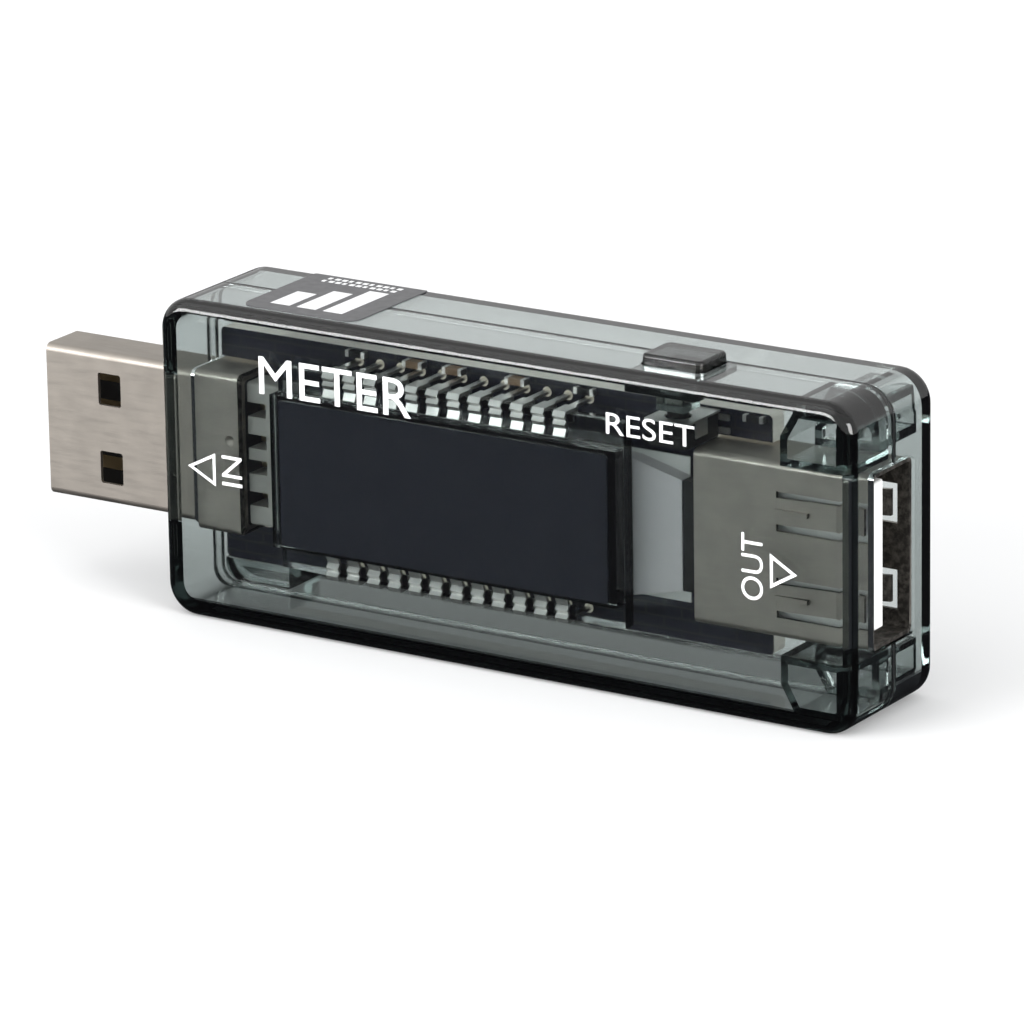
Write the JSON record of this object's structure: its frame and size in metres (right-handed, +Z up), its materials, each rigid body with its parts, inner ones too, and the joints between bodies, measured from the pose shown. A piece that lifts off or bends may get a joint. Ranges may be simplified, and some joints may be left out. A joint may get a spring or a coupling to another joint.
{
  "type": "usb power meter",
  "caption": "Slim pass-through USB voltage and current meter: see-through smoke case with plug at one end, socket at the other, LCD window inside and a reset button on the top edge.",
  "frame": {"origin": "middle of the whole length and thickness, on the long edge that the meter stands on", "axes": "+X from the plug end to the socket end, +Y from the display side to the back, +Z up to the edge with the reset button"},
  "size_m": [0.0732, 0.012, 0.0256],
  "materials": {
    "case_smoke": "smoke-grey see-through polycarbonate, polished",
    "button_smoke": "smoke-grey see-through polycarbonate, satin",
    "label_vinyl": "printed dark vinyl",
    "board_mask": "near-black solder mask on glass fibre",
    "connector_steel": "nickel-plated sheet steel",
    "inner_steel": "bright tin-plated sheet steel",
    "black_plastic": "moulded",
    "grey_plastic": "moulded",
    "white_plastic": "moulded",
    "contact_gold": "gold-flashed",
    "display_glass": "polished",
    "display_film": "dark polarising film",
    "display_seal": "cured sealant",
    "tinned_metal": "bright tin plate",
    "milky_plastic": "milky light guide",
    "foam": "closed-cell foam tape",
    "chip_plastic": "moulded epoxy",
    "shunt_metal": "copper-manganese alloy strip",
    "brown_ceramic": "fired ceramic",
    "solder": "reflowed solder"
  },
  "bodies": {
    "case": {"front_shell": "case_smoke", "rear_shell": "case_smoke", "seal_label": "label_vinyl", "circuit_board": "board_mask", "plug_shell": "connector_steel", "plug_insulator": "black_plastic", "plug_contacts": "contact_gold", "plug_collar": "inner_steel", "tail_block": "grey_plastic", "socket_shell": "inner_steel", "socket_insulator": "white_plastic", "socket_contacts": "contact_gold", "lcd_front_polarizer": "display_film", "lcd_front_glass": "display_glass", "lcd_seal": "display_seal", "lcd_rear_glass": "display_glass", "lcd_rear_polarizer": "display_film", "lcd_pins_top": "tinned_metal", "lcd_pins_bottom": "tinned_metal", "backlight_guide": "milky_plastic", "backlight_reflector": "white_plastic", "backlight_lamp": "black_plastic", "foam_pad": "foam", "switch_body": "black_plastic", "switch_cover": "tinned_metal", "switch_dome": "tinned_metal", "switch_terminals": "tinned_metal", "microcontroller": "chip_plastic", "microcontroller_leads": "tinned_metal", "current_amplifier": "chip_plastic", "memory_chip": "chip_plastic", "small_chip_leads": "tinned_metal", "voltage_regulator": "chip_plastic", "regulator_leads": "tinned_metal", "shunt_resistor": "shunt_metal", "chip_capacitors": "brown_ceramic", "chip_resistors": "chip_plastic", "chip_terminals": "tinned_metal", "solder_joints": "solder"},
    "button": {"reset_button": "button_smoke"},
    "plunger": {"switch_plunger": "black_plastic"}
  },
  "joints": [
    {"name": "reset_press", "type": "slide", "parent": "case", "child": "button", "axis": [0, 0, -1], "range_m": [0, 0.0003], "stiffness_N_per_m": 3000},
    {"name": "switch_press", "type": "slide", "parent": "case", "child": "plunger", "axis": [0, 0, -1], "range_m": [0, 0.0003], "deforming": ["switch_dome"]}
  ],
  "couplings": [
    {"joint": "switch_press", "follows": "reset_press", "ratio": 1}
  ]
}
